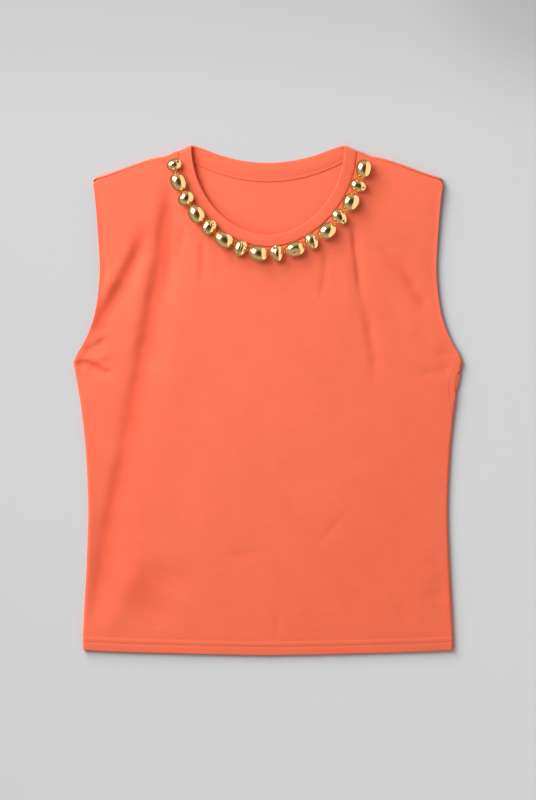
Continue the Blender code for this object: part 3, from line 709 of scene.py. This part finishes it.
BACK_EDGE_STEPS = millimetres(0, 0.6, 1.3, 2.0, 2.8, 3.6, 4.4, 5.4, 7.0)
BACK_HEM_STEPS = millimetres(0, 0.6, 2.1, 5.1, 8.1, 8.9, 9.7, 12.1, 15.1, 17.1)
BACK_TOP_STEPS = millimetres(*range(12, -1, -1))
back, back_size, back_area = panel("back", BACK_EDGE_STEPS, (20, 4, 30), BACK_HEM_STEPS, 120, BACK_TOP_STEPS)
# painted shade on the back, under the front's left neck edge
paint_fold_shade(back, shade_under_neck_edge)
back.data.materials.append(jersey)
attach(back, "root")
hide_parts("back_panel")

# ------------------------------------------------------------------------------------------- neckband halves
# A strip of the jersey folded double. Its outer ply is sewn round the neck opening. Its inner ply runs on
# past the seam and is caught by the second row of stitches. The two halves meet at the shoulder folds.

BAND_CROWN = 0.0003  # the folded strip stands this much above the panel
BAND_DEPTH = 0.0024  # both plies and the air between them
NECK_SEWN = 0.93  # how far out to the shoulders the inner ply and the rows of stitches run


def band_section(layer):
    """Across the folded strip: distances outside the neck edge, and depths below the layer's outer face."""
    bend = BAND_DEPTH / 2
    fold = [(bend * (1 - math.sin(a)), bend * (1 - math.cos(a))) for a in np.linspace(0.3, 2.8, 8)]
    outer = [(BAND - 0.0001, 0.0009), (BAND - 0.0004, 0.0004), (BAND - 0.0010, 0.0001), (BAND - 0.0022, 0.0)]
    crown = BAND_CROWN if layer == "front" else 0.0
    outer += [(BAND * k, -crown * math.sin(math.pi * k)) for k in (0.75, 0.65, 0.5, 0.38, 0.26, 0.18)]
    inner = [(BAND * k, BAND_DEPTH) for k in (0.25, 0.5, 0.75)]
    inner += [(NECK_ROWS[0] - 0.0008, BAND_DEPTH), (NECK_ROWS[0], BAND_DEPTH - 0.00025)]
    inner += [(NECK_ROWS[0] + 0.0006, BAND_DEPTH), (BAND, 0.0023), (0.0157, 0.0020), (0.0170, 0.0018)]
    inner += [(NECK_ROWS[1] - 0.0014, 0.0017), (NECK_ROWS[1] - 0.0007, 0.00155), (NECK_ROWS[1], 0.0017)]
    inner += [(BAND_INSIDE - 0.0008, 0.0017), (BAND_INSIDE - 0.0003, 0.0016), (BAND_INSIDE, 0.0013)]
    return outer + fold + inner


def band(name, layer, sections):
    """Half of the neckband, through its section set square to the neck curve."""
    curve = front_neck if layer == "front" else back_neck
    u = np.linspace(-1, 1, sections + 1)
    t = 1.5 * u - 0.5 * u**3  # closer together near the ends, which bend over the shoulder
    rows = []
    for outside, deep in band_section(layer):
        beyond = max(outside - BAND, 0.0)
        tapered = beyond * (1 - smooth_step(np.abs(t), 0.80, NECK_SEWN))  # the inner ply, at the shoulders
        reach = min(outside, BAND) + tapered + 0.0002 * beyond
        plan = np.concatenate([curve(r, np.array([tt])) for r, tt in zip(reach, t)])
        plan[:, 1] -= SHOULDER_GAP * np.abs(t) ** 30
        rows.append((plan, deep))
    face = np.array([lay(layer, plan) - facing(layer, plan) * deep for plan, deep in rows])
    out = normalised(np.cross(np.gradient(face, axis=0), np.gradient(face, axis=1)))
    out *= -1 if layer == "front" else 1
    wide = float(np.linalg.norm(np.diff(face[:, sections // 2], axis=0), axis=-1).sum())
    long = float(np.linalg.norm(np.diff(face, axis=1), axis=-1).sum() / len(face))
    return cloth(name, face, out, flip=layer == "back"), (wide, long)


rib = jersey_material("coral_neckband", (0.855, 0.147, 0.0745), 0.12, 0.06)
front_neckband, front_strip = band("front_neckband", "front", 150)
back_neckband, back_strip = band("back_neckband", "back", 90)
# painted shade on the back neckband, under the front's left neck edge
paint_fold_shade(back_neckband, shade_under_neck_edge)
for piece, node, strip, under in (
    (front_neckband, "neckband_front", front_strip, "front"),
    (back_neckband, "neckband_back", back_strip, "back"),
):
    piece.data.materials.append(rib)
    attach(piece, "root")
    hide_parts(node)

# -------------------------------------------------------------------------------------------------- stitching
# Coverstitch in thread of the same coral: two rows on each hem, one row on each turned armhole edge, and two
# rows round the neck, one on the band and one outside it that catches the band's inner ply.

STITCH_PITCH, STITCH_LONG, THREAD = 0.0034, 0.0018, 0.00023
DRAWN_IN = 0.0003  # armhole stitches, and those that the table presses in


def shaded_coral_thread():
    """Spun thread with its twist as a fine slanting ripple. Its colour is painted shade: darker than the
    jersey, for the shade at its needle holes.
    """
    material, add, shader = new_material("shaded_coral_thread")
    place = add("ShaderNodeTexCoord").outputs["Object"]
    uneven = add("ShaderNodeTexNoise", {"Vector": place, "Scale": 900.0, "Detail": 2.0}).outputs["Fac"]
    # painted shade: darker than the jersey, for the shade round the stitches
    tone = mix(add, uneven, (0.46, 0.044, 0.019, 1), (0.58, 0.068, 0.031, 1))
    twist = {"Vector": place, "Scale": 700.0}
    twist = add("ShaderNodeTexWave", twist, bands_direction="DIAGONAL").outputs["Fac"]
    relief = add("ShaderNodeBump", {"Strength": 0.3, "Distance": 0.00004, "Height": twist}).outputs[0]
    fill(shader, {"Base Color": tone, "Normal": relief, "Roughness": 0.6, "Sheen Weight": 0.15})
    return material


def stitch_tree():
    """Geometry nodes: one short arched thread on every pitch of a line, standing out of the cloth."""
    tree = bpy.data.node_groups.new("row_of_stitches", "GeometryNodeTree")
    sockets = tree.interface
    sockets.new_socket("Line", in_out="INPUT", socket_type="NodeSocketGeometry")
    for name in ("Pitch", "Length", "Thread"):
        sockets.new_socket(name, in_out="INPUT", socket_type="NodeSocketFloat")
    sockets.new_socket("Material", in_out="INPUT", socket_type="NodeSocketMaterial")
    sockets.new_socket("Stitches", in_out="OUTPUT", socket_type="NodeSocketGeometry")
    add = node_tree(tree)
    given = add("NodeGroupInput").outputs
    line = add("GeometryNodeMeshToCurve", {"Mesh": given["Line"]}).outputs[0]
    spaced = {"Curve": line, "Length": given["Pitch"]}
    spaced = add("GeometryNodeResampleCurve", spaced, mode="LENGTH").outputs[0]

    def along(share, lift):
        x, z = maths(add, "MULTIPLY", given["Length"], share), maths(add, "MULTIPLY", given["Thread"], lift)
        return add("ShaderNodeCombineXYZ", {"X": x, "Z": z}).outputs[0]

    ends = {"Resolution": 4, "Start": along(-0.5, -1.0), "Middle": along(0.0, 2.0), "End": along(0.5, -1.0)}
    arch = add("GeometryNodeCurveQuadraticBezier", ends).outputs[0]
    across = add("GeometryNodeCurvePrimitiveCircle", {"Resolution": 5, "Radius": given["Thread"]}).outputs[0]
    sweep = {"Curve": arch, "Profile Curve": across, "Fill Caps": True}
    stitch = add("GeometryNodeCurveToMesh", sweep).outputs[0]
    named = {"Name": "outwards"}
    outwards = add("GeometryNodeInputNamedAttribute", named, data_type="FLOAT_VECTOR").outputs[0]
    forward = {"Vector": add("GeometryNodeInputTangent").outputs[0]}
    turned = add("FunctionNodeAlignRotationToVector", forward, axis="X").outputs[0]
    stood = {"Rotation": turned, "Vector": outwards}
    stood = add("FunctionNodeAlignRotationToVector", stood, axis="Z", pivot_axis="X").outputs[0]
    placed = {"Points": spaced, "Instance": stitch, "Rotation": stood}
    placed = add("GeometryNodeInstanceOnPoints", placed).outputs[0]
    real = add("GeometryNodeRealizeInstances", {0: placed}).outputs[0]
    dyed = add("GeometryNodeSetMaterial", {"Geometry": real, "Material": given["Material"]}).outputs[0]
    add("NodeGroupOutput", {0: dyed})
    return tree


thread = shaded_coral_thread()
stitches = stitch_tree()


def sew(name, rows):
    """Real stitches along rows of points that each know which way is out of the cloth."""
    mesh = bpy.data.meshes.new(name)
    points = np.concatenate([place for place, _ in rows])
    starts = np.cumsum([0, *(len(place) for place, _ in rows)])
    edges = [(k, k + 1) for a, b in zip(starts, starts[1:]) for k in range(a, b - 1)]
    mesh.from_pydata(points, edges, [])
    out = mesh.attributes.new("outwards", "FLOAT_VECTOR", "POINT")
    out.data.foreach_set("vector", np.concatenate([way for _, way in rows]).ravel())
    obj = in_scene(name, mesh)
    sewing = obj.modifiers.new("stitches", "NODES")
    sewing.node_group = stitches
    values = {"Pitch": STITCH_PITCH, "Length": STITCH_LONG, "Thread": THREAD, "Material": thread}
    for item in stitches.interface.items_tree:
        if item.name in values:
            sewing[item.identifier] = values[item.name]
    sewn = bpy.data.meshes.new_from_object(obj.evaluated_get(bpy.context.evaluated_depsgraph_get()))
    obj.modifiers.remove(sewing)
    obj.data = sewn
    sewn.shade_smooth()
    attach(obj, "root")
    return obj


def sewn_row(layer, plan, deep=0.0, inside=False):
    """A row of sewing on a layer's outer face, or on a ply that lies inside it and faces inwards."""
    out = facing(layer, plan)
    if layer == "back" and not inside:
        deep = DRAWN_IN
    return lay(layer, plan) - out * deep, -out if inside else out


def hem_row(layer, above):
    reach = float(side_edge(np.array(SIDE[0].height + above))) - 0.0008
    across = np.linspace(-reach, reach, 200)
    return sewn_row(layer, np.stack([across, hem_line(np.abs(across)) + above], -1))


def neck_row(layer, outside, deep=0.0, inside=False):
    curve = front_neck if layer == "front" else back_neck
    return sewn_row(layer, curve(outside, np.linspace(-NECK_SEWN, NECK_SEWN, 160)), deep, inside)


def armhole_row(layer, side):
    height = np.linspace(UNDERARM + 0.004, TIP.height - 0.003, 120)
    plan = side_point(layer, side, height)
    plan[:, 0] -= side * ARMHOLE_ROW
    return sewn_row(layer, plan, DRAWN_IN)


sew("hem_stitching", [hem_row(layer, above) for layer in ("front", "back") for above in HEM_ROWS])
sew("armhole_stitching", [armhole_row(layer, side) for layer in ("front", "back") for side in (-1, 1)])
neck_rows = [neck_row(layer, outside) for layer in ("front", "back") for outside in NECK_ROWS]
neck_rows.append(neck_row("back", NECK_ROWS[0], BAND_DEPTH - 0.0002, inside=True))
neck_rows.append(neck_row("back", NECK_ROWS[1], 0.0016, inside=True))
sew("neck_stitching", neck_rows)

# --------------------------------------------------------------------------------------------- pebble beads
# Cast pebble beads with polished gold plating: small nuggets and large ovals by turns, each a little uneven.
# Most nuggets have a casting pit or a crease, and the tenth bead has a thumbprint. They lie on the cloth.

Pebble = namedtuple("Pebble", "along across high taper turn")
PEBBLES = rows_of(
    Pebble,
    (0.0134, 0.0178, 0.0125, 0.10, 10), (0.0217, 0.0172, 0.0150, 0.05, 4),
    (0.0156, 0.0192, 0.0135, 0.10, 10), (0.0224, 0.0178, 0.0155, 0.04, -3),
    (0.0153, 0.0200, 0.0130, 0.08, 8), (0.0227, 0.0180, 0.0155, 0.06, 0),
    (0.0141, 0.0203, 0.0130, 0.06, -2), (0.0219, 0.0182, 0.0155, 0.03, -4),
    (0.0149, 0.0203, 0.0130, 0.24, 4), (0.0221, 0.0180, 0.0150, 0.05, -3),
    (0.0147, 0.0198, 0.0130, 0.10, -9), (0.0222, 0.0178, 0.0155, 0.05, 0),
    (0.0155, 0.0203, 0.0135, 0.16, -10), (0.0217, 0.0178, 0.0155, 0.04, 0),
    (0.0143, 0.0194, 0.0130, 0.12, -3), (0.0215, 0.0176, 0.0155, 0.04, 5),
)
LIES_LOWER = {1: 1.6, 15: 1.8, 16: 3.2}  # beads at the ends of the strand, this much nearer the hem, in mm
FULL = 2.25  # how full the ovals are: 2 is an ellipsoid

# Which bead, in which direction from its middle (degrees from +X and above the table), how wide and how deep
# for its size, and how dark
Pit = namedtuple("Pit", "bead heading above width depth dark")
PITS = rows_of(
    Pit,
    (1, 35, 48, 0.20, 0.16, 1.0), (3, 216, 12, 0.15, 0.16, 1.0), (5, 38, 58, 0.19, 0.16, 1.0),
    (5, 228, 18, 0.17, 0.16, 1.0), (7, 50, 52, 0.19, 0.18, 1.0), (7, 252, 22, 0.18, 0.16, 1.0),
    (9, 106, 40, 0.17, 0.18, 1.0), (10, 282, 58, 0.50, 0.16, 0.0), (10, 262, 66, 0.22, 0.06, 0.0),
    (11, 294, 55, 0.19, 0.18, 1.0), (13, 310, 44, 0.21, 0.18, 1.0), (15, 338, 40, 0.20, 0.18, 1.0),
)
# Which bead, between which two directions, how deep and how wide
Crease = namedtuple("Crease", "bead start end depth width")
CREASES = (
    Crease(1, (35, 48), (75, 15), 0.07, 0.16),
    Crease(5, (38, 58), (228, 18), 0.05, 0.16),
    Crease(7, (50, 52), (252, 22), 0.08, 0.17),
    Crease(9, (106, 40), (262, 30), 0.05, 0.22),
    Crease(13, (310, 44), (300, 8), 0.06, 0.15),
)


def gold_plating(name, thin, full, polish):
    """Bright plating that dulls a little in patches, and darkens in the pits and creases."""
    material, add, shader = new_material(name)
    place = add("ShaderNodeTexCoord").outputs["Object"]
    pits = add("ShaderNodeAttribute", attribute_name="pit").outputs["Fac"]
    haze = add("ShaderNodeTexNoise", {"Vector": place, "Scale": 240.0, "Detail": 3.0}).outputs["Fac"]
    tone = mix(add, haze, (*thin, 1), (*full, 1))
    darkened = mix(add, pits, tone, (0.035, 0.022, 0.008, 1))
    rough = add("ShaderNodeMapRange", {0: haze, 3: polish, 4: 2 * polish}).outputs[0]
    dents = add("ShaderNodeTexNoise", {"Vector": place, "Scale": 170.0, "Detail": 1.0}).outputs["Fac"]
    relief = add("ShaderNodeBump", {"Strength": 0.22, "Distance": 0.0006, "Height": dents}).outputs[0]
    fill(shader, {"Base Color": darkened, "Roughness": rough, "Normal": relief, "Metallic": 1.0})
    return material


gold = gold_plating("polished_gold", (0.87, 0.555, 0.215), (0.95, 0.645, 0.295), 0.07)
centres = np.mean([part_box(f"bead_{n:02d}") for n in range(1, len(PEBBLES) + 1)], axis=1)
for number, lower in LIES_LOWER.items():
    centres[number - 1, 1] -= lower / 1000
strand = np.gradient(centres, axis=0)


def direction(heading, above):
    """Unit vector at a heading, in degrees from +X, and at a height above the table."""
    a, e = math.radians(heading), math.radians(above)
    return np.array([math.cos(a) * math.cos(e), math.sin(a) * math.cos(e), math.sin(e)])


def arc_distance(unit, start, end):
    """Angle from each unit vector to the nearest point of the arc between two directions."""
    t = np.linspace(0, 1, 15)[:, None]
    arc = normalised((1 - t) * direction(*start) + t * direction(*end))
    return np.arccos(np.clip(unit @ arc.T, -1, 1)).min(1)


def pebble(number, shape):
    """A ball made a little fuller and stretched to the bead's size, egg-shaped along its longer axis, gently
    lumpy, with its pits and creases pressed in."""
    lumps = np.random.default_rng(number)
    bm = bmesh.new()
    bmesh.ops.create_icosphere(bm, subdivisions=6 if shape.along < shape.across else 5, radius=1.0)
    mesh = bpy.data.meshes.new(f"pebble_{number:02d}")
    bm.to_mesh(mesh)
    bm.free()
    unit = np.empty(3 * len(mesh.vertices))
    mesh.vertices.foreach_get("co", unit)
    unit = unit.reshape(-1, 3)
    radius = 1 / (np.abs(unit) ** FULL).sum(1) ** (1 / FULL)
    for _ in range(7):
        towards = normalised(lumps.normal(size=3))
        radius += lumps.uniform(-0.05, 0.05) * np.exp(-(((1 - unit @ towards) / 0.45) ** 2))
    ball = unit * radius[:, None]
    longer = 0 if shape.along > shape.across else 1
    ball[:, 1 - longer] *= 1 + shape.taper * ball[:, longer]
    ball /= np.abs(ball).max(0)
    turn = math.radians(shape.turn) + math.atan2(strand[number - 1][1], strand[number - 1][0])
    c, s = math.cos(turn), math.sin(turn)
    turned = np.array([[c, s, 0], [-s, c, 0], [0, 0, 1]])
    seen = unit @ turned
    dark = np.zeros(len(unit))
    press = np.ones(len(unit))
    for pit in (p for p in PITS if p.bead == number):
        away = np.arccos(np.clip(seen @ direction(pit.heading, pit.above), -1, 1)) / pit.width
        press -= pit.depth * np.exp(-(away**3))
        dark = np.maximum(dark, pit.dark * np.exp(-((away / 0.8) ** 4)))
    for crease in (c for c in CREASES if c.bead == number):
        away = arc_distance(seen, crease.start, crease.end) / crease.width
        press -= crease.depth * np.exp(-np.abs(away) ** 1.5)
        dark = np.maximum(dark, 0.75 * np.exp(-((away / 0.35) ** 2)))
    size = np.array([shape.along, shape.across, shape.high]) / 2
    placed = (ball * press[:, None] * size) @ turned + centres[number - 1]
    mesh.vertices.foreach_set("co", placed.ravel())
    mesh.attributes.new("pit", "FLOAT", "POINT").data.foreach_set("value", dark)
    mesh.shade_smooth()
    return in_scene(mesh.name, mesh)


for number, shape in enumerate(PEBBLES, 1):
    bead = pebble(number, shape)
    bead.data.materials.append(gold)
    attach(bead, "root")
    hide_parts(f"bead_{number:02d}")

# ------------------------------------------------------------------------------------------------- wire links
# Each bead ends in an eye of gold wire, and the eyes of neighbours hook into each other. One eye stands up
# and the other lies flat, as in a rosary chain.

EYE, WIRE = 0.00125, 0.00036  # radius of an eye and of its wire


def eye(bm, centre, along, normal):
    """A round eye of wire about a centre, in the plane square to the normal."""
    turns, around = 24, 8
    side = np.cross(normal, along)
    rows = []
    for a in np.arange(turns) * 2 * math.pi / turns:
        outwards = along * math.cos(a) + side * math.sin(a)
        angles = np.arange(around) * 2 * math.pi / around
        spots = [outwards * (EYE + WIRE * math.cos(b)) + normal * WIRE * math.sin(b) for b in angles]
        rows.append([bm.verts.new(centre + spot) for spot in spots])
    for row, following in zip(rows, rows[1:] + rows[:1]):
        for j in range(around):
            bm.faces.new((row[j], following[j], following[j - 1], row[j - 1]))


def link(number):
    """The two eyes between a bead and the next."""
    middle = np.mean(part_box(f"spacer_{number:02d}"), axis=0)
    middle[1] -= (LIES_LOWER.get(number, 0.0) + LIES_LOWER.get(number + 1, 0.0)) / 2000
    along = normalised(centres[number] - centres[number - 1])
    side = normalised(np.cross((0, 0, 1), along))
    up = np.cross(along, side)
    bm = bmesh.new()
    for sign, normal in ((-1, up), (1, side)):
        eye(bm, middle + along * sign * (EYE - WIRE * 0.7), along, normal)
    bmesh.ops.recalc_face_normals(bm, faces=bm.faces)
    mesh = bpy.data.meshes.new(f"link_{number:02d}")
    bm.to_mesh(mesh)
    bm.free()
    mesh.shade_smooth()
    return in_scene(mesh.name, mesh)


# painted shade: the wire's plating is a darker copy of the beads' colours; it is also rougher
shaded_wire_gold = gold_plating("shaded_gold_wire", (0.50, 0.32, 0.12), (0.66, 0.44, 0.18), 0.16)
for number in range(1, len(PEBBLES)):
    eyes = link(number)
    eyes.data.materials.append(shaded_wire_gold)
    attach(eyes, "root")
    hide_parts(f"spacer_{number:02d}")

# ------------------------------------------------------------------------------------ table, light and camera
# A plain pale table, a large soft light from the upper left with a small low one under it, and the camera
# straight above. The table's colour is a little darker where it is nearer the lights, so that it comes out
# even, and has painted shade towards the top and in its top right corner. The gold alone also mirrors a cream
# panel on the right.

bpy.ops.mesh.primitive_plane_add(size=8.0, location=(0, 0, -0.0003))
table = bpy.context.object
table.name = "table"
TABLE = 0.584  # how bright it is under the top


def table_material():
    """Matt board with painted shade: darker where it is nearer the lights, so that it comes out as even as a
    studio sweep, and darker towards the top and in its top right corner.
    """
    material, add, shader = new_material("pale_table")
    place = add("ShaderNodeTexCoord").outputs["Object"]
    tilt, corner = {0: place, 1: (0.40, -0.33, 0)}, {0: place, 1: (0.36, 0.52, 0)}
    tilt = add("ShaderNodeVectorMath", tilt, operation="DOT_PRODUCT").outputs["Value"]
    corner = add("ShaderNodeVectorMath", corner, operation="DISTANCE").outputs["Value"]
    # painted shade in the top right corner
    dim = {0: corner, 1: 0.06, 2: 0.24, 3: 0.80, 4: 1.0}
    dim = add("ShaderNodeMapRange", dim, interpolation_type="SMOOTHSTEP").outputs[0]
    even = maths(add, "MULTIPLY_ADD", tilt, TABLE, TABLE)
    up = add("ShaderNodeSeparateXYZ", {0: place}).outputs["Y"]
    # painted shade towards the top
    far = {0: up, 1: 0.30, 2: 0.48, 3: 1.0, 4: 0.90}
    far = add("ShaderNodeMapRange", far, interpolation_type="SMOOTHSTEP").outputs[0]
    even = maths(add, "MULTIPLY", even, maths(add, "MULTIPLY", far, dim))
    grey = add("ShaderNodeCombineColor", {k: even for k in range(3)}).outputs[0]
    cool = mix(add, 1.0, grey, (0.991, 1.0, 1.012, 1), blend_type="MULTIPLY")
    fill(shader, {"Base Color": cool, "Roughness": 0.9, "Specular IOR Level": 0.1})
    return material


table.data.materials.append(table_material())


def softbox(name, heading, above, distance, size, radiance):
    """A flat lamp that faces the top from a heading, in degrees from +X, and a height above the table."""
    lamp = bpy.data.lights.new(name, "AREA")
    lamp.shape = "RECTANGLE"
    lamp.size, lamp.size_y = size
    lamp.energy = radiance * math.pi * size[0] * size[1]
    obj = in_scene(name, lamp)
    towards = Vector(direction(heading, above))
    obj.location = towards * distance
    obj.rotation_euler = (-towards).to_track_quat("-Z", "Y").to_euler()
    return obj


softbox("key", 142, 43, 2.2, (1.3, 1.8), 6.8)
low = softbox("low", 122, 18, 2.2, (1.0, 1.0), 7.6)
for unseen in (low, table, front, back, front_neckband, back_neckband):
    unseen.visible_glossy = False  # the gold mirrors the pale studio all round, as retouched beads do


def studio_world():
    """Pale walls and ceiling all round, with a dark patch where the camera hangs."""
    world = bpy.data.worlds.new("studio")
    world.use_nodes = True
    add = node_tree(world.node_tree)
    place = add("ShaderNodeTexCoord").outputs["Generated"]
    away = add("ShaderNodeVectorMath", {0: place, 1: DARK_PATCH}, operation="DISTANCE").outputs["Value"]
    ramp = add("ShaderNodeValToRGB", {0: maths(add, "DIVIDE", away, 2.0)})
    elements = ramp.color_ramp.elements
    for at, _ in WALLS[1:-1]:
        elements.new(at)
    for element, (at, colour) in zip(elements, WALLS):
        element.position = at
        element.color = (*colour, 1)
    rightwards = add("ShaderNodeSeparateXYZ", {0: place}).outputs["X"]
    panel = add("ShaderNodeMapRange", {0: rightwards, 1: 0.47, 2: 0.50}).outputs[0]
    shiny = add("ShaderNodeLightPath").outputs["Is Glossy Ray"]
    panel = maths(add, "MULTIPLY", panel, shiny)
    seen = mix(add, panel, ramp.outputs[0], (*CREAM_PANEL, 1))
    fill(world.node_tree.nodes["Background"], {"Color": seen, "Strength": 1.0})
    return world


DARK_PATCH = (0.20, 0.02, 0.98)  # which way it lies
WALLS = (  # colours out from the middle of the dark patch, at 0, to the opposite side, at 1
    (0.0, (0.05, 0.045, 0.04)),
    (0.15, (0.08, 0.075, 0.07)),
    (0.29, (0.34, 0.34, 0.34)),
    (0.46, (0.56, 0.56, 0.56)),
    (0.62, (0.54, 0.50, 0.47)),
    (0.76, (0.40, 0.26, 0.18)),
    (1.0, (0.40, 0.21, 0.13)),
)
CREAM_PANEL = (1.25, 1.18, 1.15)
bpy.context.scene.world = studio_world()

PIXEL = 0.0011524  # of the photograph, at the height of the top
LENS, SENSOR = 200.0, 36.0
camera = bpy.data.cameras.new("above")
camera.lens, camera.sensor_width = LENS, SENSOR
camera.clip_start, camera.clip_end = 0.1, 30
above = in_scene("above", camera)
above.location = (0.0, 0.00029, 800 * PIXEL * LENS / SENSOR + 0.003)
bpy.context.scene.camera = above
bpy.context.scene.view_settings.view_transform = "Standard"
